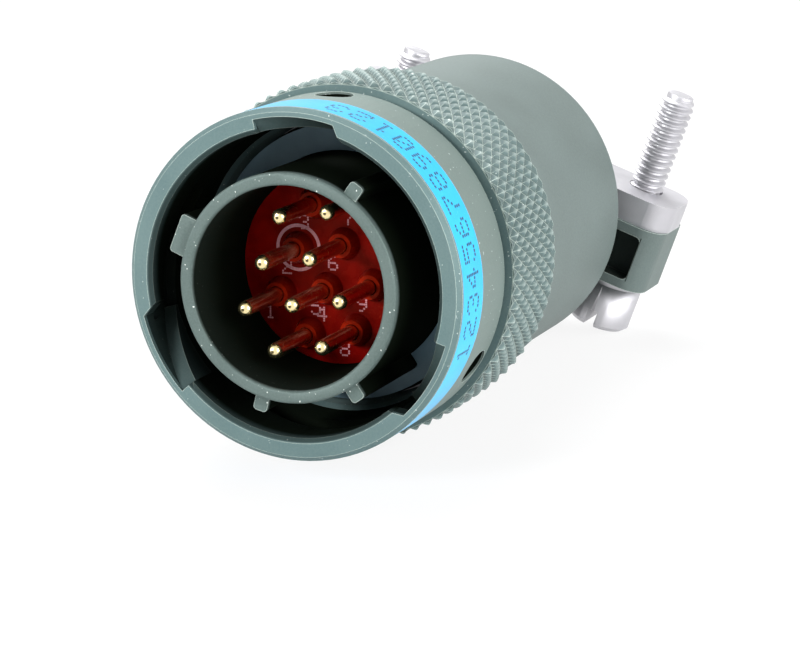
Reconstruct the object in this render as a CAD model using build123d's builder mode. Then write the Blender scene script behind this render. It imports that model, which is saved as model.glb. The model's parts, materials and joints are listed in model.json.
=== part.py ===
from build123d import *
from math import asin, atan2, cos, degrees, hypot, radians, sin
import os

os.makedirs("parts", exist_ok=True)

# A bayonet plug lying on its side, in millimetres. Its axis is the Y axis.
# Stations are distances along +Y behind the coupling ring's front face, and
# radii are measured from the axis. Clock angles are in degrees, clockwise
# from the cable clamp's upright as seen from the mating side.

# Insert and contact layout, from which the shell's bore follows
cavity_pitch = 3.302
boss_r = 1.1
boss_tip_r = 0.8
boss_height = 0.9
insert_edge = 0.447
seat_clearance = 0.05

# Plug shell
barrel_wall = 0.83
rim_stand_out = 0.85
rim_fillet = 0.2
shell_flange_front = 10.2
shell_flange_width = 1.0
shell_step = 0.62
shell_rear = 20.0
key_clock = -88.0
key_height = 0.95
key_setback = 0.3
key_root = 0.4
master_key_width = 2.6
minor_key_width = 0.95
minor_key_turns = (103.0, 213.0, 262.5)

# Coupling ring
mating_gap = 2.47
ring_length = 16.7
ring_wall = 1.5
knurl_height = 0.75
knurl_chamfer = 0.25
knurl_cuts = 24
knurl_lean = 30.0
knurl_depth = 0.34
face_chamfer = 0.3
groove_front = 8.15
groove_width = 0.35
groove_web = 1.0
band_front = 0.5
band_width = 3.5
band_depth = 0.25
bore_clearance = 0.45
ring_flange_width = 1.2
flange_clearance = 0.1
tail_lip = 0.25

# Bayonet entries, helical tracks and sight holes in the ring
bayonet_count = 3
entry_clock = -19.0
entry_half_angle = 14.6
entry_flare = 10.7
entry_depth = 3.2
track_depth = 0.9
track_width = 2.2
track_front = 0.8
sight_station = 6.7
sight_r = 1.25

# Spring, washer and retaining ring that hold the coupling ring
spring_room = 0.7
spring_thickness = 0.22
spring_play = 0.03
washer_edge_gap = 0.25
thrust_thickness = 0.3
retainer_gap = 0.1
retainer_thickness = 0.8
retainer_height = 1.35
retainer_groove_depth = 0.4
retainer_mouth = 5.0

# Seal, insert stack and contacts
face_seal_length = 1.5
face_seal_edge_gap = 0.65
insert_front = 7.2
insert_length = 2.5
wafer_length = 4.0
grommet_setback = 0.1
pin_r = 0.51
pin_recess = 1.9
nose_flat_r = 0.03
collar_height = 0.1
collar_setback = 0.65
collar_length = 1.8
crimp_barrel_r = 0.85
contact_setback = 1.3
wire_hole_r = 0.58
wire_hole_depth = 4.0
contact_clearance = 0.04

# Backshell
nose_gap = 0.8
nose_wall = 1.2
ring_gap = 0.3
follower_length = 1.4
follower_height = 2.25
follower_edge_gap = 0.2
lip_width = 1.0
lip_height = 1.15
cavity_r = 9.6
backshell_wall = 1.25
end_wall = 1.4
backshell_rear = 34.5
backshell_chamfer = 0.35

# Cable clamp
cable_r = 5.0
cradle_wall = 1.9
neck_length = 1.9
clamp_width = 6.8
ear_end = 3.2
ear_half_height = 2.4
ear_fillet = 1.8
pocket_width = 3.7
pocket_wall = 0.7
pocket_web = 0.7
pocket_fillet = 0.4
saddle_thickness = 2.0
saddle_setback = 0.4

# Clamp screws
screw_reach = 10.2
screw_inset = 2.8
screw_r = 1.26
screw_hole_clearance = 0.2
screw_length = 15.1
tip_chamfer = 0.3
head_r = 2.4
head_height = 3.4
head_chamfer = 0.35
slot_width = 0.8
slot_depth = 1.3
washer_r = 2.3
washer_thickness = 0.8
washer_mouth = 0.6
washer_bore_clearance = 0.1
thread_clearance = 0.05
back_out = 4.8

# Radii that follow, from the insert outwards
insert_r = 1.5 * cavity_pitch + boss_r + insert_edge
barrel_bore_r = insert_r + seat_clearance
barrel_r = barrel_bore_r + barrel_wall
shell_body_r = barrel_r + shell_step
ring_bore_r = barrel_r + mating_gap
smooth_r = ring_bore_r + ring_wall
knurl_r = smooth_r + knurl_height
groove_floor_r = ring_bore_r + groove_web
band_floor_r = smooth_r - band_depth
track_r = ring_bore_r + track_depth
track_foot_r = ring_bore_r - track_width / 2
track_center_r = (track_r + track_foot_r) / 2
shell_flange_r = ring_bore_r - bore_clearance
ring_flange_bore_r = shell_body_r + flange_clearance
tail_bore_r = ring_bore_r - tail_lip
retainer_bore_r = shell_body_r - retainer_groove_depth
retainer_r = retainer_bore_r + retainer_height
face_seal_r = ring_bore_r - face_seal_edge_gap
collar_r = crimp_barrel_r + collar_height
thread_bore_r = shell_body_r + seat_clearance
backshell_nose_r = thread_bore_r + nose_wall
follower_r = thread_bore_r - follower_edge_gap
follower_bore_r = follower_r - follower_height
lip_bore_r = thread_bore_r - lip_height
backshell_r = cavity_r + backshell_wall
cradle_r = cable_r + cradle_wall

# Stations that follow, from the rim to the rear
rim = -rim_stand_out
pin_tip = rim + pin_recess
band_rear = band_front + band_width
knurl_front = groove_front + groove_width
knurl_length = ring_length - knurl_front
knurl_middle = knurl_front + knurl_length / 2
seal_front = shell_flange_front - face_seal_length
shell_flange_rear = shell_flange_front + shell_flange_width
thrust_front = shell_flange_rear + spring_room
ring_flange_front = thrust_front + thrust_thickness
ring_flange_rear = ring_flange_front + ring_flange_width
retainer_front = ring_flange_rear + retainer_gap
retainer_rear = retainer_front + retainer_thickness
backshell_front = retainer_rear + nose_gap
shoulder = ring_length + ring_gap
insert_rear = insert_front + insert_length
wafer_front = insert_rear + seat_clearance
wafer_rear = wafer_front + wafer_length
collar_front = wafer_front + collar_setback
grommet_front = wafer_rear + seat_clearance
grommet_rear = shell_rear - grommet_setback
contact_rear = grommet_rear - contact_setback
follower_front = shell_rear + seat_clearance
follower_rear = follower_front + follower_length
lip_front = follower_rear + seat_clearance
cavity_front = lip_front + lip_width
cavity_rear = backshell_rear - end_wall
clamp_front = backshell_rear + neck_length
clamp_rear = clamp_front + clamp_width
clamp_middle = (clamp_front + clamp_rear) / 2
saddle_front = clamp_front + saddle_setback
saddle_width = clamp_width - 2 * saddle_setback
screw_station = clamp_rear - screw_inset
screw_hole_r = screw_r + screw_hole_clearance
pocket_depth = screw_station - screw_hole_r - pocket_web - clamp_front
ear_reach = screw_reach + ear_end
head_foot = ear_half_height + washer_thickness + head_height
head_edge = screw_reach + head_r - head_chamfer
track_turn = 360 / bayonet_count
FOOT = (Align.CENTER, Align.CENTER, Align.MIN)
SAME_PLACE = 0.01

# The plug lies on its knurl, on the backshell's end and on the right screw's
# head: the floor line through the first two sets how far the clamp rolls over
floor_slope = (knurl_r - backshell_r) / (backshell_rear - ring_length)
floor_at_screw = knurl_r - floor_slope * (screw_station - ring_length)
head_bearing = degrees(atan2(head_foot, head_edge))
lie_roll = degrees(asin(floor_at_screw / hypot(head_edge, head_foot))) - head_bearing


def station(place, clock=0.0):
    """Cross-section plane seen from the mating side, its Y axis at a clock angle."""
    turn = radians(lie_roll + clock)
    return Plane(origin=(0, place, 0), x_dir=(cos(turn), 0, -sin(turn)), z_dir=(0, -1, 0))


def radial(place, clock):
    """Plane at a station whose normal points away from the axis at a clock angle."""
    turn = radians(lie_roll + clock)
    return Plane(origin=(0, place, 0), x_dir=(0, 1, 0), z_dir=(sin(turn), 0, cos(turn)))


def deck(height):
    """Plane square to the clamp screws: X across the clamp, Y along the connector."""
    turn = radians(lie_roll)
    upright = Vector(sin(turn), 0, cos(turn))
    return Plane(origin=upright * height, x_dir=(cos(turn), 0, -sin(turn)), z_dir=upright)


def span(inner, outer, front, rear, mode=Mode.ADD):
    """Rectangle of a turned section, between two radii and two stations."""
    with Locations(((inner + outer) / 2, (front + rear) / 2)):
        Rectangle(outer - inner, rear - front, mode=mode)


def turned_ring(inner, outer, front, rear):
    """Plain turned ring between two radii and two stations."""
    with BuildPart() as ring:
        with BuildSketch(Plane.XY):
            span(inner, outer, front, rear)
        revolve(axis=Axis.Y)
    return ring.part


def circles_at(part, place, radius):
    """Round edges of a turned part at one station and radius."""
    found = []
    for edge in part.edges().filter_by(GeomType.CIRCLE):
        level = edge.center(CenterOf.BOUNDING_BOX).Y
        if abs(level - place) < SAME_PLACE and abs(edge.radius - radius) < SAME_PLACE:
            found.append(edge)
    return ShapeList(found)


def cavity_spots():
    """Contact places in rows of three, four and three, the first row beside the master key."""
    row_height = cavity_pitch * sin(radians(60))
    spots = []
    for row, count in ((1, 3), (0, 4), (-1, 3)):
        for place in range(count):
            spots.append(((place - (count - 1) / 2) * cavity_pitch, row * row_height))
    return spots


def save(part, name):
    """Label a finished piece and write it to the parts folder."""
    part.label = name
    export_step(part, f"parts/{name}.step")


# Entry pocket outline: its clockwise wall flares from the roof down into the bore
with BuildSketch() as entry_outline:
    roof_start = 90 - entry_half_angle
    roof_turn = 2 * entry_half_angle
    with BuildLine():
        roof = CenterArc((0, 0), track_r, roof_start, roof_turn)
        foot = CenterArc((0, 0), track_foot_r, roof_start - entry_flare, roof_turn + entry_flare)
        Line(roof @ 0, foot @ 0)
        Line(roof @ 1, foot @ 1)
    make_face()

# Track cutter: it starts on its plane's -X side and sinks to the rear while it
# runs clockwise to the next bayonet
with BuildPart() as track:
    sink = sight_station - track_front - track_width / 2
    with BuildLine() as track_path:
        Helix(sink * 360 / track_turn, sink, track_center_r, direction=(0, 0, -1))
    start = Plane(origin=track_path.line @ 0, x_dir=(1, 0, 0), z_dir=track_path.line % 0)
    with BuildSketch(start):
        Rectangle(track_r - track_foot_r, track_width)
    sweep(is_frenet=True)

# Knurl cutter: a straight square-angled V along its X axis, a little longer than the grip
with BuildPart() as knurl_cutter:
    with BuildSketch(Plane.YZ):
        with BuildLine():
            Polyline(
                (0, -knurl_depth), (2 * knurl_depth, knurl_depth), (-2 * knurl_depth, knurl_depth),
                close=True,
            )
        make_face()
    extrude(amount=knurl_length / cos(radians(knurl_lean)) / 2 + knurl_depth, both=True)

# Coupling ring: turned outside and bore, then the crossed knurl and the bayonet cuts
with BuildPart() as coupling_ring:
    with BuildSketch(Plane.XY):
        span(ring_bore_r, smooth_r, 0, groove_front)
        span(ring_bore_r, groove_floor_r, 0, ring_length)
        span(tail_bore_r, knurl_r, knurl_front, ring_length)
        span(ring_flange_bore_r, ring_bore_r, ring_flange_front, ring_flange_rear)
        span(tail_bore_r, ring_bore_r, ring_flange_rear, ring_length)
        span(band_floor_r, smooth_r, band_front, band_rear, mode=Mode.SUBTRACT)
    revolve(axis=Axis.Y)
    chamfer(circles_at(coupling_ring.part, 0, smooth_r), face_chamfer)
    chamfer(circles_at(coupling_ring.part, 0, ring_bore_r), face_chamfer)
    chamfer(circles_at(coupling_ring.part, groove_front, smooth_r), knurl_chamfer / 2)
    for knurl_end in (knurl_front, ring_length):
        chamfer(circles_at(coupling_ring.part, knurl_end, knurl_r), knurl_chamfer)
    with Locations(*[radial(knurl_middle, 360 * cut / knurl_cuts) for cut in range(knurl_cuts)]):
        with Locations(*[Location((0, 0, knurl_r), (0, 0, lean)) for lean in (-knurl_lean, knurl_lean)]):
            add(knurl_cutter.part, mode=Mode.SUBTRACT)
    for bayonet in range(bayonet_count):
        clock = entry_clock + bayonet * track_turn
        with BuildSketch(station(0, clock)):
            add(entry_outline.sketch)
        extrude(amount=-entry_depth, mode=Mode.SUBTRACT)
        with Locations(station(track_front + track_width / 2, clock + 90)):
            add(track.part, mode=Mode.SUBTRACT)
        with Locations(radial(sight_station, clock)):
            Cylinder(sight_r, 2 * smooth_r, align=FOOT, mode=Mode.SUBTRACT)
save(coupling_ring.part, "coupling_ring")

# Coloured marking band, flush in its shallow seat
save(turned_ring(band_floor_r, smooth_r, band_front, band_rear), "marking_band")

# Plug shell: barrel, flange and threaded body in one piece, with its four keys
with BuildPart() as plug_shell:
    with BuildSketch(Plane.XY):
        span(barrel_bore_r, barrel_r, rim, shell_rear)
        span(barrel_r, shell_flange_r, shell_flange_front, shell_flange_rear)
        span(barrel_r, shell_body_r, shell_flange_rear, shell_rear)
        span(retainer_bore_r, shell_body_r, retainer_front, retainer_rear, mode=Mode.SUBTRACT)
    revolve(axis=Axis.Y)
    fillet(circles_at(plug_shell.part, rim, barrel_r), rim_fillet)
    fillet(circles_at(plug_shell.part, rim, barrel_bore_r), rim_fillet)
    with BuildSketch(station(rim + key_setback, key_clock)):
        key_low = barrel_r - key_root
        key_mid = key_low + (key_root + key_height) / 2
        for turn in (0.0, *minor_key_turns):
            width = minor_key_width if turn else master_key_width
            with Locations(Location((0, 0, 0), (0, 0, -turn))):
                with Locations((0, key_mid)):
                    Rectangle(width, key_root + key_height)
    extrude(amount=rim + key_setback - seal_front)
save(plug_shell.part, "plug_shell")

# Face seal round the foot of the barrel
save(turned_ring(barrel_r + seat_clearance, face_seal_r, seal_front, shell_flange_front), "face_seal")

# Bowed spring washer: two high points bear on the flange, two on the thrust washer
spring_bore_r = shell_body_r + washer_edge_gap
spring_outer_r = shell_flange_r - washer_edge_gap
with BuildPart() as spring_washer:
    low = shell_flange_rear + spring_play
    high = thrust_front - spring_play
    with BuildSketch(Plane.YZ):
        with BuildLine():
            front_face = ThreePointArc(
                (high - spring_thickness, -spring_outer_r),
                (low, 0),
                (high - spring_thickness, spring_outer_r),
            )
            rear_face = ThreePointArc(
                (high, spring_outer_r), (low + spring_thickness, 0), (high, -spring_outer_r)
            )
            Line(front_face @ 1, rear_face @ 0)
            Line(rear_face @ 1, front_face @ 0)
        make_face()
    extrude(amount=spring_outer_r, both=True)
    add(
        turned_ring(spring_bore_r, spring_outer_r, shell_flange_front, ring_flange_front),
        mode=Mode.INTERSECT,
    )
save(spring_washer.part, "spring_washer")

# Thrust washer between the spring and the coupling ring's inner flange
thrust_outer_r = ring_bore_r - washer_edge_gap
save(
    turned_ring(ring_flange_bore_r, thrust_outer_r, thrust_front, ring_flange_front),
    "thrust_washer",
)

# Open retaining ring sprung into the shell's groove behind the coupling ring's flange
with BuildPart() as retaining_ring:
    add(
        turned_ring(
            retainer_bore_r + seat_clearance,
            retainer_r,
            retainer_front + seat_clearance,
            retainer_rear - seat_clearance,
        )
    )
    with BuildSketch(station(retainer_front)):
        with Locations((0, -retainer_r)):
            Rectangle(retainer_mouth, retainer_r)
    extrude(amount=-retainer_thickness, mode=Mode.SUBTRACT)
save(retaining_ring.part, "retaining_ring")

# Red front insert: ten bosses stand round the contact places
spots = cavity_spots()
with BuildPart() as front_insert:
    with BuildSketch(station(insert_front, key_clock)):
        Circle(insert_r)
    extrude(amount=-insert_length)
    with Locations(station(insert_front, key_clock)):
        with Locations(*spots):
            Cone(boss_r, boss_tip_r, boss_height, align=FOOT)
    with BuildSketch(station(insert_front - boss_height, key_clock)):
        with Locations(*spots):
            Circle(pin_r + contact_clearance)
    extrude(amount=-boss_height - insert_length, mode=Mode.SUBTRACT)
save(front_insert.part, "front_insert")

# Hard wafer: stepped cavities hold the contact collars
with BuildPart() as contact_wafer:
    with BuildSketch(station(wafer_front, key_clock)):
        Circle(insert_r)
    extrude(amount=-wafer_length)
    with BuildSketch(station(wafer_front, key_clock)):
        with Locations(*spots):
            Circle(crimp_barrel_r + contact_clearance)
    extrude(amount=-wafer_length, mode=Mode.SUBTRACT)
    with BuildSketch(station(collar_front - contact_clearance, key_clock)):
        with Locations(*spots):
            Circle(collar_r + contact_clearance)
    extrude(amount=-collar_length - 2 * contact_clearance, mode=Mode.SUBTRACT)
save(contact_wafer.part, "contact_wafer")

# Rear grommet round the crimp barrels
with BuildPart() as rear_grommet:
    with BuildSketch(station(grommet_front, key_clock)):
        Circle(insert_r)
        with Locations(*spots):
            Circle(crimp_barrel_r + contact_clearance, mode=Mode.SUBTRACT)
    extrude(amount=grommet_front - grommet_rear)
save(rear_grommet.part, "rear_grommet")


def contact_pin(spot):
    """Turned pin contact: round-nosed pin, collar and hollow crimp barrel."""
    with BuildPart() as contact:
        for radius, front, rear in (
            (pin_r, pin_tip, collar_front),
            (crimp_barrel_r, wafer_front, contact_rear),
            (collar_r, collar_front, collar_front + collar_length),
        ):
            with BuildSketch(station(front, key_clock)):
                with Locations(spot):
                    Circle(radius)
            extrude(amount=front - rear)
        fillet(contact.part.edges().group_by(Axis.Y)[0], pin_r - nose_flat_r)
        with BuildSketch(station(contact_rear, key_clock)):
            with Locations(spot):
                Circle(wire_hole_r)
        extrude(amount=wire_hole_depth, mode=Mode.SUBTRACT)
    return contact.part


# Nine contacts fill the cavities: the last place is left empty
for number, spot in enumerate(spots[:-1], start=1):
    save(contact_pin(spot), f"contact_{number}")

# Follower ring that presses the grommet home
save(
    turned_ring(follower_bore_r, follower_r, follower_front, follower_rear),
    "follower",
)

# Backshell: turned housing with the clamp's cradle and ears behind it
with BuildPart() as backshell:
    with BuildSketch(Plane.XY):
        span(thread_bore_r, backshell_nose_r, backshell_front, shoulder)
        span(thread_bore_r, backshell_r, shoulder, lip_front)
        span(lip_bore_r, backshell_r, lip_front, cavity_front)
        span(cavity_r, backshell_r, cavity_front, cavity_rear)
        span(cable_r, backshell_r, cavity_rear, backshell_rear)
        span(cable_r, cradle_r, backshell_rear, clamp_rear)
    revolve(axis=Axis.Y)
    for end in (shoulder, backshell_rear):
        chamfer(circles_at(backshell.part, end, backshell_r), backshell_chamfer)

    # The cradle is open above the ears
    with BuildSketch(deck(ear_half_height)):
        with Locations((0, clamp_middle)):
            Rectangle(2 * cradle_r, clamp_width)
    extrude(amount=cradle_r, mode=Mode.SUBTRACT)
    with BuildSketch(deck(-ear_half_height)) as ears:
        with Locations((0, clamp_middle)):
            Rectangle(2 * ear_reach, clamp_width)
        fillet(ears.vertices(), ear_fillet)
    extrude(amount=2 * ear_half_height)
    with BuildSketch(station(clamp_front)):
        Circle(cable_r)
    extrude(amount=-clamp_width, mode=Mode.SUBTRACT)

    # A cored pocket in each ear's front face, and the screw holes behind them
    with BuildSketch(station(clamp_front)) as pockets:
        with Locations((screw_reach, 0), (-screw_reach, 0)):
            Rectangle(pocket_width, 2 * (ear_half_height - pocket_wall))
        fillet(pockets.vertices(), pocket_fillet)
    extrude(amount=-pocket_depth, mode=Mode.SUBTRACT)
    with BuildSketch(deck(-ear_half_height)):
        with Locations((screw_reach, screw_station), (-screw_reach, screw_station)):
            Circle(screw_hole_r)
    extrude(amount=2 * ear_half_height, mode=Mode.SUBTRACT)
save(backshell.part, "backshell")

# Saddle bar: flat ends on the ears and an arch over the cable
with BuildPart() as saddle_bar:
    with BuildSketch(deck(ear_half_height)) as bar:
        with Locations((0, clamp_middle)):
            Rectangle(2 * ear_reach, saddle_width)
        fillet(bar.vertices(), ear_fillet)
    extrude(amount=saddle_thickness)
    with BuildSketch(station(saddle_front)):
        Circle(cradle_r)
        with Locations((0, ear_half_height - cradle_r)):
            Rectangle(2 * cradle_r, 2 * cradle_r, mode=Mode.SUBTRACT)
    extrude(amount=-saddle_width)
    with BuildSketch(station(saddle_front)):
        Circle(cable_r)
    extrude(amount=-saddle_width, mode=Mode.SUBTRACT)
    with BuildSketch(deck(ear_half_height)):
        with Locations((screw_reach, screw_station), (-screw_reach, screw_station)):
            Circle(screw_r + thread_clearance)
    extrude(amount=saddle_thickness, mode=Mode.SUBTRACT)
save(saddle_bar.part, "saddle_bar")


def clamp_screw(side, drop):
    """Slotted screw that comes up through an ear, dropped by what it is backed out."""
    seat = deck(-ear_half_height - washer_thickness - drop)
    place = (side * screw_reach, screw_station)
    with BuildPart() as screw:
        with BuildSketch(seat):
            with Locations(place):
                Circle(head_r)
        extrude(amount=-head_height)
        with BuildSketch(seat):
            with Locations(place):
                Circle(screw_r)
        extrude(amount=screw_length)
        along = Axis((0, 0, 0), seat.z_dir)
        chamfer(screw.part.edges().group_by(along)[0], head_chamfer)
        chamfer(screw.part.edges().group_by(along)[-1], tip_chamfer)
        with BuildSketch(seat.offset(-head_height)):
            with Locations(place):
                Rectangle(slot_width, 2 * head_r)
        extrude(amount=slot_depth, mode=Mode.SUBTRACT)
    return screw.part


def lock_washer(side, drop):
    """Split lock washer between an ear and its screw's head."""
    with BuildPart() as washer:
        with BuildSketch(deck(-ear_half_height - washer_thickness - drop)):
            with Locations((side * screw_reach, screw_station)):
                Circle(washer_r)
                Circle(screw_r + washer_bore_clearance, mode=Mode.SUBTRACT)
            with Locations((side * screw_reach, screw_station + washer_r)):
                Rectangle(washer_mouth, 2 * washer_r - screw_r, mode=Mode.SUBTRACT)
        extrude(amount=washer_thickness)
    return washer.part


# The left screw is backed out, so its head and washer hang below the ear
for side, name, drop in ((1, "right", 0.0), (-1, "left", back_out)):
    save(clamp_screw(side, drop), f"clamp_screw_{name}")
    save(lock_washer(side, drop), f"lock_washer_{name}")
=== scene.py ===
import json
import math

import bmesh
import bpy
from mathutils import Matrix, Vector


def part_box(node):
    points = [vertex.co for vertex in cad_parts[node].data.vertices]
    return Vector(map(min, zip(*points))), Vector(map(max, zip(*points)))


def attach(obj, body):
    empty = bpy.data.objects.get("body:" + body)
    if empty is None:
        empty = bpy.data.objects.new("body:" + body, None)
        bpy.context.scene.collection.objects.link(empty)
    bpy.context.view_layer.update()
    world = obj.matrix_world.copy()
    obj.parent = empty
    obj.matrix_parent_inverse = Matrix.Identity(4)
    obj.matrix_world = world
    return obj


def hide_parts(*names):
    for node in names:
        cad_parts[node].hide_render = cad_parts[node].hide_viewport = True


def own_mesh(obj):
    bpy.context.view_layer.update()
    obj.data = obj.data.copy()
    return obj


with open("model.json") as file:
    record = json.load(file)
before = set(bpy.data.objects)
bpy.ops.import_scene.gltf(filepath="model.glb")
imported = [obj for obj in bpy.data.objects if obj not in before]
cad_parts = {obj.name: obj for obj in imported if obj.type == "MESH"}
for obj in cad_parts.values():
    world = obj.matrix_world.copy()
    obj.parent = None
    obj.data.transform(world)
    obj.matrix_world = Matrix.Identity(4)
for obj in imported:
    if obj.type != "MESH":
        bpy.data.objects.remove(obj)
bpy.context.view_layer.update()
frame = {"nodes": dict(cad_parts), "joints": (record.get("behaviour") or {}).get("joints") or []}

# A bayonet plug lying on its side. Places are in metres in the part's own
# axes: the plug's axis is Y, its mating side faces -Y, and up is Z.
MM = 0.001
nodes = frame["nodes"]
joints = {joint["name"]: joint for joint in frame["joints"]}

# Where the photograph was taken from
camera_place = Vector((69.98, -157.79, 34.63)) * MM
camera_forward = Vector((-0.3609, 0.9087, -0.2102))
camera_right = Vector((0.9301, 0.3674, -0.0082))
camera_lens = 126.0
sensor_width = 36.0

# The shell: its barrel, and the keys that stand on it a little behind its rim
shell_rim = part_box("plug_shell")[0].y
barrel_bore_r = 6.55 * MM
barrel_r = 7.38 * MM
key_setback = 0.3 * MM
key_height = 0.95 * MM

# The coupling ring, in stations behind its face: bore, smooth part, groove and knurled grip
knurl_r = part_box("coupling_ring")[1].x
ring_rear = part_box("coupling_ring")[1].y
ring_bore_r = 9.85 * MM
smooth_r = 11.35 * MM
groove_front = 8.15 * MM
knurl_front = 8.5 * MM
knurl_depth = 0.34 * MM
knurl_count = 78

# The ring's three bayonet entries and the track they lead to
bayonet_count = 3
track_r = 10.75 * MM
entry_clock = math.radians(1.27)
entry_half_turn = math.radians(14.6)
entry_flare = math.radians(10.7)
entry_depth = 3.2 * MM

# The insert's bosses stand out round the contacts
contact_count = 9
boss_height = 0.9 * MM

# The backshell, with a cored pocket in the front of each clamp ear
backshell_r = 10.85 * MM
backshell_rear = 34.5 * MM
clamp_front = 36.4 * MM
pocket_floor = 38.24 * MM
pocket_half_height = 1.7 * MM
pocket_start = 8.35 * MM
pocket_end = 12.05 * MM

# The clamp screws
screw_r = 1.26 * MM
screw_pitch = 0.529 * MM
thread_depth = 0.27 * MM

# How far printed ink stands from what it is printed on
ink_height = 0.004 * MM


class Level:
    """A number that varies over a surface, with arithmetic that adds Math nodes."""

    def __init__(self, finish, socket):
        self.finish = finish
        self.socket = socket

    def join(self, operation, *values):
        """The outcome of one operation on some values."""
        node = self.finish.node("ShaderNodeMath", {"operation": operation}, dict(enumerate(values)))
        return Level(self.finish, node.outputs[0])

    def __add__(self, other):
        return self.join("ADD", self, other)

    def __sub__(self, other):
        return self.join("SUBTRACT", self, other)

    def __rsub__(self, other):
        return self.join("SUBTRACT", other, self)

    def __mul__(self, other):
        return self.join("MULTIPLY", self, other)

    def __truediv__(self, other):
        return self.join("DIVIDE", self, other)

    __radd__ = __add__
    __rmul__ = __mul__

    def root(self):
        """The square root."""
        return self.join("SQRT", self)

    def size(self):
        """The number without its sign."""
        return self.join("ABSOLUTE", self)

    def over(self, limit):
        """1 where this is more than the limit, 0 elsewhere."""
        return self.join("GREATER_THAN", self, limit)

    def under(self, limit):
        """1 where this is less than the limit, 0 elsewhere."""
        return self.join("LESS_THAN", self, limit)

    def held(self):
        """The number, kept between 0 and 1."""
        return self.join("MINIMUM", self.join("MAXIMUM", self, 0.0), 1.0)

    def ramp(self, start, end):
        """0 before start, 1 past end, and even in between."""
        return ((self - start) / (end - start)).held()


class Finish:
    """The finish of a material, or the light of a room, in the making."""

    def __init__(self, owner, output_kind="ShaderNodeOutputMaterial"):
        owner.use_nodes = True
        self.owner = owner
        self.tree = owner.node_tree
        self.tree.nodes.clear()
        self.output = self.node(output_kind)

    @classmethod
    def named(cls, name):
        """A new material's finish."""
        return cls(bpy.data.materials.new(name))

    def node(self, kind, settings=None, sockets=None):
        """A node of any kind: its settings first, then the values and links of its sockets."""
        node = self.tree.nodes.new(kind)
        for setting, value in (settings or {}).items():
            setattr(node, setting, value)
        for key, value in (sockets or {}).items():
            if isinstance(value, Level):
                value = value.socket
            if isinstance(value, bpy.types.NodeSocket):
                self.tree.links.new(value, node.inputs[key])
            else:
                node.inputs[key].default_value = value
        return node

    def place(self):
        """The point on the surface, in the part's own axes."""
        return self.node("ShaderNodeTexCoord").outputs["Object"]

    def place_in_box(self):
        """The point on the surface, from 0 to 1 along each side of the piece's box."""
        return self.node("ShaderNodeTexCoord").outputs["Generated"]

    def parts(self, vector):
        """The X, Y and Z of a vector."""
        node = self.node("ShaderNodeSeparateXYZ", {}, {"Vector": vector})
        return [Level(self, node.outputs[axis]) for axis in "XYZ"]

    def radius_and_station(self):
        """How far a point is from the plug's axis, and how far behind the ring's face."""
        x, y, z = self.parts(self.place())
        return (x * x + z * z).root(), y

    def noise(self, size, detail=2.0, roughness=0.5, stretch=None):
        """Soft noise from 0 to 1, with lumps of about the given size in metres."""
        where = self.place()
        if stretch:
            where = self.node("ShaderNodeMapping", {}, {"Vector": where, "Scale": stretch}).outputs[0]
        node = self.node("ShaderNodeTexNoise", {}, {
            "Vector": where, "Scale": 1 / size, "Detail": detail, "Roughness": roughness})
        return Level(self, node.outputs["Fac"])

    def edges(self, width):
        """1 on outer edges and corners, 0 on open faces."""
        faint, full = 0.01, 0.12
        rounded = self.node("ShaderNodeBevel", {"samples": 4}, {"Radius": width}).outputs[0]
        true = self.node("ShaderNodeNewGeometry").outputs["Normal"]
        node = self.node("ShaderNodeVectorMath", {"operation": "DOT_PRODUCT"}, {0: rounded, 1: true})
        return (1 - Level(self, node.outputs["Value"])).ramp(faint, full)

    def seen_directly(self):
        """1 for what the eye or a reflection sees, 0 for light that falls on something."""
        paths = self.node("ShaderNodeLightPath").outputs
        eye = Level(self, paths["Is Camera Ray"])
        reflection = Level(self, paths["Is Glossy Ray"])
        return eye.join("MAXIMUM", eye, reflection)

    def mix(self, share, first, second):
        """From the first colour to the second, by a share from 0 to 1."""
        node = self.node("ShaderNodeMix", {"data_type": "RGBA"}, {0: share, 6: first, 7: second})
        return node.outputs[2]

    def bump(self, height, depth):
        """Normals of a surface that rises and falls by the given depth in metres."""
        node = self.node("ShaderNodeBump", {}, {
            "Height": height, "Strength": 1.0, "Distance": depth})
        return node.outputs[0]

    def shader(self, **sockets):
        """The main shader, by the names of its sockets."""
        named = {key.replace("_", " "): value for key, value in sockets.items()}
        return self.node("ShaderNodeBsdfPrincipled", {}, named).outputs[0]

    def both(self, share, first, second):
        """From the first shader to the second, by a share from 0 to 1."""
        return self.node("ShaderNodeMixShader", {}, {0: share, 1: first, 2: second}).outputs[0]

    def end(self, shader):
        """Ends the tree with a shader, and returns the material or room that has it."""
        self.tree.links.new(shader, self.output.inputs["Surface"])
        return self.owner


def rgb(red, green, blue):
    """A solid colour."""
    return (red, green, blue, 1.0)


def grey(level):
    """A neutral colour."""
    return rgb(level, level, level)


def paler(colour, times):
    """A colour lightened so many times, as far as white."""
    return tuple(min(1.0, times * share) for share in colour)


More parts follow.
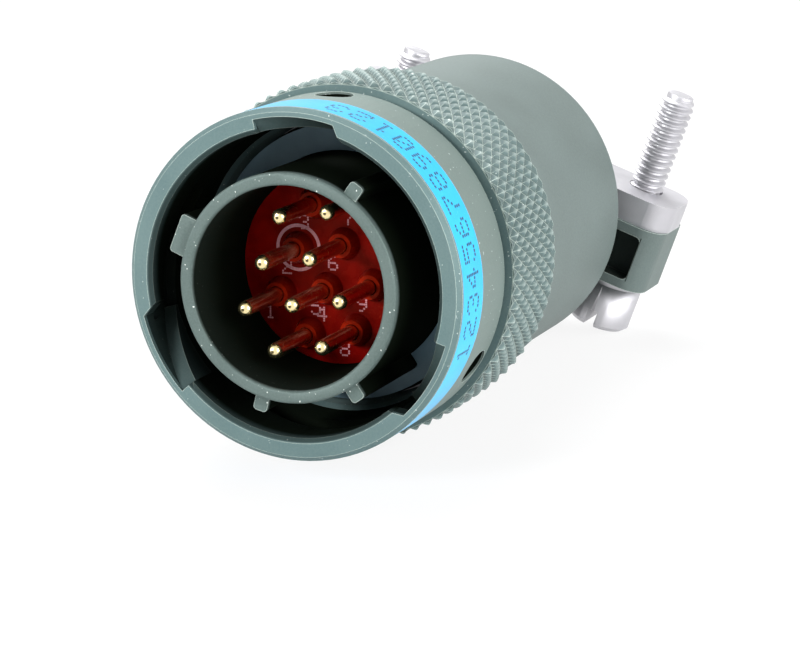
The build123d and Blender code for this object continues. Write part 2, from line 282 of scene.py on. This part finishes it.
def plating(name, low, high, shade=None, knurled=False, speck_share=0.0):
    """Matte grey-green plating, from a low to a high tone, with painted shade in near black where the
    shade mask says.
    """
    pale_grain = rgb(0.20, 0.25, 0.23)
    # Edge colour: partly rubbed plating, partly a painted highlight
    rubbed_edge_and_highlight = rgb(0.56, 0.64, 0.58)
    pale_speck = rgb(0.85, 0.90, 0.86)
    # Near black of the painted shade
    painted_shade_black = rgb(0.0022, 0.0038, 0.0020)
    finish = Finish.named(name)
    cloud = finish.noise(4 * MM, detail=3.0)
    grain = finish.noise(0.14 * MM, roughness=0.6)
    plate = finish.mix(cloud.ramp(0.3, 0.7), low, high)
    plate = finish.mix(grain.ramp(0.3, 0.8) * 0.20, plate, pale_grain)
    if knurled:
        plate = handled(finish, plate)
    # Edges lightened: rubbed wear and a painted highlight
    plate = finish.mix(finish.edges(0.07 * MM) * 0.8, plate, rubbed_edge_and_highlight)
    if speck_share:
        specks = finish.noise(0.15 * MM, detail=0.0).over(0.83)
        plate = finish.mix(specks * speck_share, plate, pale_speck)
    plated = finish.shader(
        Base_Color=plate,
        Metallic=0.25,
        Roughness=0.52 + cloud * 0.12 - grain * 0.06,
        Specular_IOR_Level=0.30,
        Normal=finish.bump(grain, 0.006 * MM),
    )
    if not shade:
        return finish.end(plated)
    # A near-black shader, mixed in as painted shade in hollows and behind rims
    painted_shade_shader = finish.shader(
        Base_Color=painted_shade_black,
        Roughness=0.8,
        Specular_IOR_Level=0.03,
    )
    return finish.end(finish.both(shade(finish), plated, painted_shade_shader))


def handled(finish, plate):
    """An olive cast behind the band, and a grip painted darker in its valleys as painted shade, with
    rubbed tips.
    """
    olive = rgb(0.170, 0.196, 0.168)
    # Dark of the painted shade in the knurl's valleys
    valley_painted_shade = rgb(0.065, 0.080, 0.072)
    rubbed_tip = rgb(0.30, 0.35, 0.33)
    radius, station = finish.radius_and_station()
    band_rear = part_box("marking_band")[1].y
    smooth_part = station.over(band_rear) * station.under(groove_front)
    on_grip = station.over(knurl_front + 0.01 * MM)
    height = radius.ramp(knurl_r - knurl_depth, knurl_r - 0.03 * MM)
    plate = finish.mix(smooth_part * 0.5, plate, olive)
    # Painted shade: the knurl's valleys are painted darker
    plate = finish.mix(on_grip * (1 - height) * 0.45, plate, valley_painted_shade)
    return finish.mix(on_grip * height.ramp(0.5, 1.0) * 0.75, plate, rubbed_tip)


def shell_painted_shade(finish):
    """Painted shade: the shell is painted dark inside its barrel and round it, from just behind its rim
    and keys.
    """
    radius, station = finish.radius_and_station()
    just_in = station.ramp(shell_rim + 0.10 * MM, shell_rim + 0.40 * MM)
    far_in = station.ramp(shell_rim + 1.0 * MM, shell_rim + 4.5 * MM)
    in_barrel = radius.under(barrel_bore_r + 0.06 * MM)
    key_face = shell_rim + key_setback
    behind_keys = station.ramp(key_face + 0.06 * MM, key_face + 0.40 * MM)
    round_barrel = radius.over(barrel_r - 0.12 * MM)
    return (in_barrel * (just_in * 0.94 + far_in * 0.06) + round_barrel * behind_keys).held()


def ring_painted_shade(finish):
    """Painted shade: the ring is painted dark in its bore and sight holes, and dim behind its lip and
    in its entries.
    """
    radius, station = finish.radius_and_station()
    lip = station.ramp(0.01 * MM, 0.10 * MM)
    deep = station.ramp(0.40 * MM, 1.2 * MM)
    far = station.ramp(1.6 * MM, 3.2 * MM)
    in_bore = radius.under(ring_bore_r + 0.26 * MM) * (lip * 0.66 + deep * 0.34)
    behind_face = station.over(0.35 * MM) * radius.under(smooth_r - 0.30 * MM)
    in_entry = radius.over(ring_bore_r + 0.24 * MM) * behind_face * (0.80 + far * 0.15)
    in_hole = radius.under(smooth_r - 0.16 * MM) * station.over(4.6 * MM)
    ahead_of_groove = station.under(groove_front - 0.05 * MM)
    return ((in_bore + in_entry + in_hole) * ahead_of_groove).held()


def ramp_painted_shade(finish):
    """Painted shade: the entries' ramps are painted darker as they sink."""
    station = finish.radius_and_station()[1]
    return 0.48 + station.ramp(0.4 * MM, 2.8 * MM) * 0.40


def pocket_painted_shade(finish):
    """Painted shade: the cored pockets in the front of the clamp's ears are painted dim."""
    x, station, z = finish.parts(finish.place())
    up_x, _, up_z = joints["saddle_lift"]["axis"]
    room = 0.05 * MM
    height = (x * up_x + z * up_z).size()
    aside = (x * up_z - z * up_x).size()
    across = aside.over(pocket_start - room) * aside.under(pocket_end + room)
    deep = station.over(clamp_front + room) * station.under(pocket_floor + room)
    return height.under(pocket_half_height + room) * across * deep * 0.80


def band_coat():
    """Smooth sky-blue band."""
    deep_blue = rgb(0.002, 0.33, 0.62)
    sky_blue = rgb(0.006, 0.38, 0.68)
    pale_fleck = rgb(0.20, 0.60, 0.80)
    finish = Finish.named("band_blue")
    cloud = finish.noise(3 * MM, detail=3.0)
    grain = finish.noise(0.2 * MM)
    blue = finish.mix(cloud.ramp(0.35, 0.65), deep_blue, sky_blue)
    blue = finish.mix(grain.over(0.66) * 0.15, blue, pale_fleck)
    return finish.end(finish.shader(
        Base_Color=blue,
        Roughness=0.32 + grain * 0.10,
        Specular_IOR_Level=0.12,
        Coat_Weight=0.25,
        Coat_Roughness=0.12,
        Normal=finish.bump(grain, 0.003 * MM),
    ))


def ink(name, colour):
    """Thin printed ink, slightly uneven."""
    finish = Finish.named(name)
    patch = finish.noise(0.12 * MM)
    thin_places = patch.ramp(0.45, 0.75) * 0.5
    return finish.end(finish.shader(
        Base_Color=finish.mix(thin_places, colour, paler(colour, 2.2)),
        Roughness=0.45 + patch * 0.2,
    ))


def red_insert():
    """Deep red glossy rubber insert, painted lighter and more orange on its raised bosses as painted
    light.
    """
    dark_red = rgb(0.12, 0.0010, 0.0006)
    full_red = rgb(0.22, 0.0020, 0.0010)
    # Painted light: the bosses' lighter, more orange red
    boss_painted_light_red = rgb(0.32, 0.014, 0.0020)
    warm_gloss = rgb(1.0, 0.25, 0.15)
    finish = Finish.named("insert_red")
    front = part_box("front_insert")[0].y
    station = finish.radius_and_station()[1]
    cloud = finish.noise(1.6 * MM, detail=3.0)
    fine = finish.noise(0.12 * MM)
    face = finish.mix(cloud.ramp(0.3, 0.7), dark_red, full_red)
    # Painted light: the bosses are painted lighter as they rise
    boss_painted_light = 1 - station.ramp(front, front + 0.9 * boss_height)
    return finish.end(finish.shader(
        Base_Color=finish.mix(boss_painted_light * 0.8, face, boss_painted_light_red),
        Roughness=0.20 + cloud * 0.15,
        Specular_IOR_Level=0.15,
        Specular_Tint=warm_gloss,
        Normal=finish.bump(fine + cloud * 2, 0.010 * MM),
    ))


def moulded(name, colour, roughness):
    """Plain moulding or rubber with a faint mould texture."""
    finish = Finish.named(name)
    fine = finish.noise(0.10 * MM)
    cloud = finish.noise(1.5 * MM)
    return finish.end(finish.shader(
        Base_Color=finish.mix(cloud * 0.6, colour, paler(colour, 1.6)),
        Roughness=roughness + fine * 0.1,
        Normal=finish.bump(fine, 0.006 * MM),
    ))


def gold():
    """Polished gold plating with faint turning marks, a shaft painted darker brown as painted shade and
    reflection, and a small dark dot in the middle of the nose.
    """
    deep_gold = rgb(0.90, 0.72, 0.34)
    pale_gold = rgb(0.98, 0.86, 0.52)
    # Painted shade and reflection of the dark red insert on the shaft
    shaft_painted_reflection_brown = rgb(0.42, 0.24, 0.10)
    nose_dot_black = rgb(0.05, 0.035, 0.010)
    finish = Finish.named("contact_gold")
    turned = finish.noise(0.08 * MM, detail=1.0, stretch=(0.2, 3.0, 0.2))
    metal = finish.mix(finish.noise(0.7 * MM), deep_gold, pale_gold)
    x, y, z = finish.parts(finish.place_in_box())
    off_centre = ((x - 0.5) * (x - 0.5) + (z - 0.5) * (z - 0.5)).root()
    behind_nose = y.ramp(0.03, 0.09)
    # A small dark dot in the middle of the nose
    nose_centre_dot = off_centre.under(0.055) * y.under(0.02)
    # Painted shade and reflection: the shaft is painted darker brown behind the nose
    metal = finish.mix(behind_nose * 0.6, metal, shaft_painted_reflection_brown)
    metal = finish.mix(nose_centre_dot * 0.9, metal, nose_dot_black)
    return finish.end(finish.shader(
        Base_Color=metal,
        Metallic=1.0,
        Roughness=0.17 + turned * 0.14,
        Normal=finish.bump(turned, 0.002 * MM),
    ))


def steel():
    """Bright satin steel, slightly marked."""
    dull_steel = rgb(0.44, 0.44, 0.46)
    bright_steel = rgb(0.55, 0.54, 0.57)
    worn_edge = grey(0.72)
    finish = Finish.named("bright_steel")
    fine = finish.noise(0.10 * MM, detail=3.0)
    metal = finish.mix(finish.noise(1.4 * MM), dull_steel, bright_steel)
    return finish.end(finish.shader(
        Base_Color=finish.mix(finish.edges(0.08 * MM) * 0.5, metal, worn_edge),
        Metallic=0.85,
        Roughness=0.40 + fine * 0.14,
        Normal=finish.bump(fine, 0.003 * MM),
    ))


def dress(piece, material):
    """Gives a piece one material all over."""
    piece.data.materials.clear()
    piece.data.materials.append(material)


def put_in_scene(thing):
    """Puts an object in the scene."""
    bpy.context.scene.collection.objects.link(thing)


def made(name, builder, material, body, crease=28):
    """A new piece from a finished mesh, riding on a body, creased past an angle in degrees."""
    mesh = bpy.data.meshes.new(name)
    bmesh.ops.recalc_face_normals(builder, faces=builder.faces)
    builder.to_mesh(mesh)
    builder.free()
    mesh.shade_smooth()
    mesh.set_sharp_from_angle(angle=math.radians(crease))
    piece = bpy.data.objects.new(name, mesh)
    put_in_scene(piece)
    dress(piece, material)
    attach(piece, body)
    return piece


def solid_copy(node):
    """A welded copy of a solid's mesh."""
    builder = bmesh.new()
    builder.from_mesh(nodes[node].data)
    weld(builder)
    return builder


def weld(builder):
    """Joins the points that lie in one place."""
    bmesh.ops.remove_doubles(builder, verts=builder.verts, dist=1e-7)


def around(radius, angle, station):
    """A point at a radius, an angle and a station of the plug."""
    return Vector((radius * math.sin(angle), station, radius * math.cos(angle)))


def circle(builder, middle, radius, station, steps):
    """New points round a middle, at a radius and a station."""
    return [
        builder.verts.new(middle + around(radius, 2 * math.pi * step / steps, station))
        for step in range(steps)
    ]


def wall(builder, first, second):
    """A band of faces between two closed rows of points."""
    for step in range(len(first)):
        ahead = (step + 1) % len(first)
        builder.faces.new((first[step], first[ahead], second[ahead], second[step]))


def capped(builder, sections):
    """A closed bar through its sections."""
    for first, second in zip(sections, sections[1:]):
        wall(builder, first, second)
    builder.faces.new(sections[0])
    builder.faces.new(sections[-1])


def keyed_shell(material):
    """The plug shell with the long corners of its keys rounded over."""
    corner_r = 0.24 * MM
    corner_steps = 4
    flat_within = math.radians(0.5)
    sharp_past = math.radians(60)
    face_room = 0.02 * MM
    key_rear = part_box("face_seal")[0].y
    crown = barrel_r + 0.9 * key_height
    builder = solid_copy("plug_shell")

    def on_key(vert, lowest=barrel_r - face_room):
        """Whether a point lies on a key, further out than the lowest radius."""
        radius = math.hypot(vert.co.x, vert.co.z)
        return radius > lowest and vert.co.y < key_rear + face_room

    key_verts = [vert for vert in builder.verts if on_key(vert)]
    key_edges = [edge for edge in builder.edges if all(on_key(vert) for vert in edge.verts)]
    bmesh.ops.dissolve_limit(builder, angle_limit=flat_within, verts=key_verts, edges=key_edges)
    corners = [
        edge for edge in builder.edges
        if all(on_key(vert, crown) for vert in edge.verts)
        and abs(edge.verts[0].co.y - edge.verts[1].co.y) > key_height
        and edge.calc_face_angle(0.0) > sharp_past
    ]
    bmesh.ops.bevel(
        builder, geom=corners, offset=corner_r, offset_type="OFFSET",
        segments=corner_steps, profile=0.5, affect="EDGES")
    piece = made("keyed_plug_shell", builder, material, "plug")
    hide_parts("plug_shell")


def knurled_ring(material):
    """The coupling ring with its fine diamond knurl cut for real."""
    seam = 0.02 * MM
    core_r = knurl_r - knurl_depth - seam
    builder = solid_copy("coupling_ring")
    for vert in builder.verts:
        radius = math.hypot(vert.co.x, vert.co.z)
        if vert.co.y > knurl_front - seam and radius > core_r:
            vert.co.x *= core_r / radius
            vert.co.z *= core_r / radius
    weld(builder)
    bmesh.ops.dissolve_degenerate(builder, edges=builder.edges, dist=1e-6)
    knurl_sleeve(builder, core_r, seam)
    piece = made("knurled_coupling_ring", builder, material, "ring", crease=9)
    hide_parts("coupling_ring")


def knurl_sleeve(builder, core_r, seam):
    """Sleeve of crossed helical cuts: small-topped pyramids on a closed ring."""
    count = 2 * knurl_count
    last_row = 10
    end_drop = 0.22 * MM
    rows = []
    for row in range(last_row + 1):
        station = knurl_front + (ring_rear - knurl_front) * row / last_row
        points = []
        for step in range(count):
            is_tip = (row + step) % 2
            radius = knurl_r if is_tip else knurl_r - knurl_depth
            if is_tip and row in (0, last_row):
                radius -= end_drop
            points.append(builder.verts.new(around(radius, 2 * math.pi * step / count, station)))
        rows.append(points)
    for row in range(last_row + 1):
        for step in range(count):
            if (row + step) % 2 == 0:
                continue
            tip = rows[row][step]
            before, after = rows[row][step - 1], rows[row][(step + 1) % count]
            if row in (0, last_row):
                inward = rows[1 if row == 0 else last_row - 1][step]
                builder.faces.new((before, inward, tip))
                builder.faces.new((inward, after, tip))
            else:
                pyramid(builder, tip, [before, rows[row + 1][step], after, rows[row - 1][step]])
    front, rear = [
        circle(builder, Vector(), core_r - seam, station, count)
        for station in (knurl_front + seam, ring_rear - seam)
    ]
    wall(builder, front, rear)
    wall(builder, front, rows[0])
    wall(builder, rear, rows[-1])


def pyramid(builder, tip, foot):
    """A small-topped pyramid of the knurl, in place of its sharp tip."""
    top_share = 0.18
    top_drop = 0.0036
    top_r = knurl_r * (1 - top_drop)
    top = []
    for corner in foot:
        flat = tip.co.lerp(corner.co, top_share)
        scale = top_r / math.hypot(flat.x, flat.z)
        top.append(builder.verts.new((flat.x * scale, flat.y, flat.z * scale)))
    builder.faces.new(top)
    wall(builder, foot, top)
    builder.verts.remove(tip)


def entry_ramps(material):
    """Lead-in ramps that sink through the three bayonet entries from the face."""
    steps = 20
    wall_lap = 0.03 * MM
    inner_r = ring_bore_r + wall_lap
    outer_r = track_r + wall_lap
    inner_lead = 0.45 * entry_flare
    outer_top = 0.10 * MM
    inner_top = 0.34 * MM
    foot = entry_depth - 0.2 * MM
    rear = entry_depth + wall_lap
    builder = bmesh.new()
    for bayonet in range(bayonet_count):
        middle = entry_clock + 2 * math.pi * bayonet / bayonet_count
        sections = []
        for step in range(steps + 1):
            share = step / steps
            outer_angle = middle + entry_half_turn * (2 * share - 1)
            inner_angle = outer_angle - inner_lead * (1 - share)
            outer_station = outer_top + (foot - outer_top) * share
            inner_station = inner_top + (foot - inner_top) * share
            sections.append([builder.verts.new(corner) for corner in (
                around(outer_r, outer_angle, outer_station),
                around(inner_r, inner_angle, inner_station),
                around(inner_r, inner_angle, rear),
                around(outer_r, outer_angle, rear))])
        capped(builder, sections)
    made("entry_ramps", builder, material, "ring")


def flattening_spring(material):
    """The bowed spring washer, as a piece with a mesh of its own."""
    float_joint = joints["ring_float"]
    travel = float_joint["range_m"][1]
    seat = float_joint["deforming_nodes"][0]["fixed_end_y_m"]
    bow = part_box("spring_washer")[1].y - seat
    piece = made("bowed_spring_washer", solid_copy("spring_washer"), material, "plug")
    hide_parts("spring_washer")
    1 - travel / bow
    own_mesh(piece)


# Numerals of five by seven dots, from the top row down
NUMERALS = (
    "01110 10001 10011 10101 11001 10001 01110",
    "00100 01100 00100 00100 00100 00100 01110",
    "01110 10001 00001 00110 01000 10000 11111",
    "01110 10001 00001 00110 00001 10001 01110",
    "00010 00110 01010 10010 11111 00010 00010",
    "11111 10000 11110 00001 00001 10001 01110",
    "00110 01000 10000 11110 10001 10001 01110",
    "11111 00001 00010 00100 01000 01000 01000",
    "01110 10001 10001 01110 10001 10001 01110",
    "01110 10001 10001 01111 00001 00010 01100",
)


def numeral_dots(number):
    """Dots of a numeral, from its middle, in dot steps."""
    return [
        (column - 2, 3 - row)
        for row, line in enumerate(NUMERALS[number].split())
        for column, dot in enumerate(line)
        if dot == "1"
    ]


def ink_dot(builder, middle, along, across, radius):
    """One thin round dot of ink, sunk in its surface and standing a hair above it."""
    sides = 8
    out = along.cross(across)
    rims = []
    for level in (-ink_height, ink_height):
        rims.append([
            builder.verts.new(
                middle + out * level
                + along * radius * math.cos(2 * math.pi * side / sides)
                + across * radius * math.sin(2 * math.pi * side / sides)
            )
            for side in range(sides)
        ])
    capped(builder, rims)


def band_numerals(material):
    """Plain counting numerals in dots on the blue band, their tops to the front."""
    low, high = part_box("marking_band")
    middle_station = (low.y + high.y) / 2
    dot_r = 0.115 * MM
    row_step = 0.30 * MM
    column_turn = math.radians(1.30)
    first_angle = math.radians(11.9)
    numeral_turn = math.radians(8.2)
    numeral_count = 13
    forward = Vector((0, -1, 0))
    builder = bmesh.new()
    for count in range(numeral_count):
        middle_angle = first_angle + count * numeral_turn
        for column, row in numeral_dots((numeral_count - count) % 10):
            angle = middle_angle - column * column_turn
            place = around(smooth_r, angle, middle_station - row * row_step)
            ink_dot(builder, place, forward, around(1, angle, 0).cross(forward), dot_r)
    made("band_numerals", builder, material, "ring")


def contact_places():
    """Middles of the ten cavities on the insert's face: nine contacts and the empty one."""
    places = []
    for number in range(1, contact_count + 1):
        low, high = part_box(f"contact_{number}")
        places.append(Vector(((low.x + high.x) / 2, 0, (low.z + high.z) / 2)))
    places.append(2 * places[-1] - places[-2])
    return places


def insert_marks(material):
    """Small numerals beside the contacts, and a ring round the second, printed on the insert."""
    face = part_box("front_insert")[0].y + boss_height
    insert_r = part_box("front_insert")[1].x
    right, up = Vector((1, 0, 0)), Vector((0, 0, 1))
    numeral_aside = 0.84 * MM
    numeral_drop = 1.33 * MM
    numeral_room = 0.6 * MM
    beside = -numeral_aside * right - numeral_drop * up
    dot_step = 0.145 * MM
    dot_r = 0.49 * dot_step
    ring_inner = 1.36 * MM
    ring_outer = 1.58 * MM
    places = contact_places()
    builder = bmesh.new()
    for number, place in enumerate(places[:-1], start=1):
        middle = place + beside
        if middle.length > insert_r - numeral_room:
            middle = place - beside
        middle.y = face
        for column, row in numeral_dots(number):
            ink_dot(builder, middle + right * column * dot_step + up * row * dot_step, right, up, dot_r)
    ink_ring(builder, places[1], face, ring_inner, ring_outer)
    made("insert_numerals", builder, material, "plug")


def ink_ring(builder, middle, face, inner, outer):
    """A thin printed ring on a face square to the plug's axis."""
    steps = 64
    front, rear = face - ink_height, face + ink_height
    loops = [
        circle(builder, middle, radius, station, steps)
        for radius, station in ((inner, front), (outer, front), (outer, rear), (inner, rear))
    ]
    for loop, following in zip(loops, loops[1:] + loops[:1]):
        wall(builder, loop, following)


def threaded_screw(side, material):
    """A clamp screw with a real helical thread along its shank."""
    node = f"clamp_screw_{side}"
    joint = joints[f"{side}_screw_turn"]
    along = -Vector(joint["axis"]).normalized()
    foot = Vector(joint["pos_m"])
    root_r = screw_r - thread_depth
    reach = 0.05 * MM
    builder = solid_copy(node)

    def height_and_aim(vert):
        """How high a point is along the screw, and its way out from the screw's axis."""
        offset = vert.co - foot
        height = offset.dot(along)
        return height, offset - along * height

    places = {vert: height_and_aim(vert) for vert in builder.verts}
    tip = max(height for height, aim in places.values())
    seat = min(height for height, aim in places.values() if abs(aim.length - screw_r) < reach)
    for vert, (height, aim) in places.items():
        if height > seat - reach and root_r < aim.length < screw_r + reach:
            vert.co = foot + along * height + aim * (root_r / aim.length)
    thread_ridge(builder, foot, along, root_r, seat + screw_pitch, tip - screw_pitch / 2)
    piece = made(f"threaded_{node}", builder, material, f"{side}_screw")
    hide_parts(node)


def thread_ridge(builder, foot, along, root_r, start, end):
    """One helical ridge with a narrow crest, its foot sunk into the core."""
    steps_per_turn = 32
    fade_steps = 12
    sunk = 0.06 * MM
    half_foot = 0.46 * screw_pitch
    half_crest = 0.07 * screw_pitch
    across = Vector((0, 1, 0))
    aside = along.cross(across)
    low_r = root_r - sunk / 2
    steps = int((end - start) / screw_pitch * steps_per_turn)
    sections = []
    for step in range(steps + 1):
        angle = 2 * math.pi * step / steps_per_turn
        height = start + screw_pitch * step / steps_per_turn
        fade = min(1.0, step / fade_steps, (steps - step) / fade_steps)
        crest_r = low_r + (screw_r - low_r) * fade
        aim = across * math.cos(angle) + aside * math.sin(angle)
        sections.append([
            builder.verts.new(foot + along * (height + lift) + aim * radius)
            for radius, lift in (
                (root_r - sunk, -half_foot), (crest_r, -half_crest),
                (crest_r, half_crest), (root_r - sunk, half_foot))
        ])
    capped(builder, sections)


def white_floor():
    """Plain white floor through the plug's resting line."""
    reach = 3.0
    glow_share = 0.88
    slope = math.atan((knurl_r - backshell_r) / (backshell_rear - ring_rear))
    corners = [(-reach, -reach, 0), (reach, -reach, 0), (reach, reach, 0), (-reach, reach, 0)]
    mesh = bpy.data.meshes.new("floor")
    mesh.from_pydata(corners, [], [(0, 1, 2, 3)])
    floor = bpy.data.objects.new("floor", mesh)
    floor.location = (0, ring_rear, -knurl_r)
    floor.rotation_euler = (slope, 0, 0)
    put_in_scene(floor)
    finish = Finish.named("floor_white")
    matte = finish.node("ShaderNodeBsdfDiffuse", {}, {"Color": grey(0.86)}).outputs[0]
    glow = finish.node("ShaderNodeEmission", {}, {"Color": grey(1.0), "Strength": 1.0}).outputs[0]
    dress(floor, finish.end(finish.both(finish.seen_directly() * glow_share, matte, glow)))


def softbox(name, place, size, power):
    """A square soft lamp that faces the plug."""
    plug_middle = Vector((0, 18, 0)) * MM
    lamp = bpy.data.lights.new(name, "AREA")
    lamp.shape = "SQUARE"
    lamp.size = size
    lamp.energy = power
    light = bpy.data.objects.new(name, lamp)
    light.location = place
    light.rotation_mode = "QUATERNION"
    light.rotation_quaternion = (plug_middle - Vector(place)).to_track_quat("-Z", "Y")
    put_in_scene(light)


def studio():
    """White room and three soft lamps."""
    room = Finish(bpy.data.worlds.new("white_room"), "ShaderNodeOutputWorld")
    fill = room.node("ShaderNodeBackground", {}, {"Color": rgb(0.94, 0.97, 1.0), "Strength": 0.26})
    white = room.node("ShaderNodeBackground", {}, {"Color": grey(1.0), "Strength": 1.0})
    both = room.both(room.seen_directly(), fill.outputs[0], white.outputs[0])
    bpy.context.scene.world = room.end(both)
    softbox("top_softbox", place=(-0.12, 0.16, 0.38), size=0.30, power=2.6)
    softbox("left_softbox", place=(-0.24, -0.38, 0.18), size=0.16, power=2.4)
    softbox("right_softbox", place=(0.40, -0.06, 0.04), size=0.46, power=4.4)


def camera():
    """The photograph's camera."""
    lens = bpy.data.cameras.new("camera")
    lens.sensor_fit = "HORIZONTAL"
    lens.sensor_width = sensor_width
    lens.lens = camera_lens
    lens.clip_start = 0.01
    lens.clip_end = 10.0
    back = -camera_forward.normalized()
    up = back.cross(camera_right).normalized()
    right = up.cross(back)
    turn = Matrix((right, up, back)).transposed().to_4x4()
    seer = bpy.data.objects.new("camera", lens)
    seer.matrix_world = Matrix.Translation(camera_place) @ turn
    put_in_scene(seer)
    bpy.context.scene.camera = seer


bpy.context.scene.view_settings.view_transform = "Standard"
camera()
studio()
white_floor()

steel_finish = steel()
gold_finish = gold()
shell_tones = rgb(0.070, 0.100, 0.093), rgb(0.088, 0.122, 0.114)
ring_tones = rgb(0.078, 0.132, 0.134), rgb(0.098, 0.156, 0.156)
backshell_tones = rgb(0.098, 0.126, 0.120), rgb(0.114, 0.146, 0.140)

keyed_shell(plating("shell_plating", *shell_tones, shell_painted_shade, speck_share=0.8))
dress(nodes["backshell"], plating("backshell_plating", *backshell_tones, pocket_painted_shade))
dress(nodes["marking_band"], band_coat())
dress(nodes["front_insert"], red_insert())
dress(nodes["contact_wafer"], moulded("insert_hard", rgb(0.05, 0.045, 0.04), roughness=0.5))
dress(nodes["follower"], moulded("follower_hard", rgb(0.06, 0.055, 0.05), roughness=0.45))
dress(nodes["rear_grommet"], moulded("grommet_rubber", rgb(0.20, 0.03, 0.02), roughness=0.6))
dress(nodes["face_seal"], moulded("seal_rubber", rgb(0.160, 0.270, 0.330), roughness=0.45))
for number in range(1, contact_count + 1):
    dress(nodes[f"contact_{number}"], gold_finish)
for name in ("saddle_bar", "lock_washer_right", "lock_washer_left", "retaining_ring", "thrust_washer"):
    dress(nodes[name], steel_finish)

knurled_ring(plating("ring_plating", *ring_tones, ring_painted_shade, knurled=True, speck_share=0.5))
flattening_spring(steel_finish)
entry_ramps(plating("ramp_plating", *ring_tones, ramp_painted_shade))
band_numerals(ink("band_ink", rgb(0.008, 0.035, 0.08)))
insert_marks(ink("insert_ink", rgb(0.55, 0.24, 0.28)))
threaded_screw("right", steel_finish)
threaded_screw("left", steel_finish)
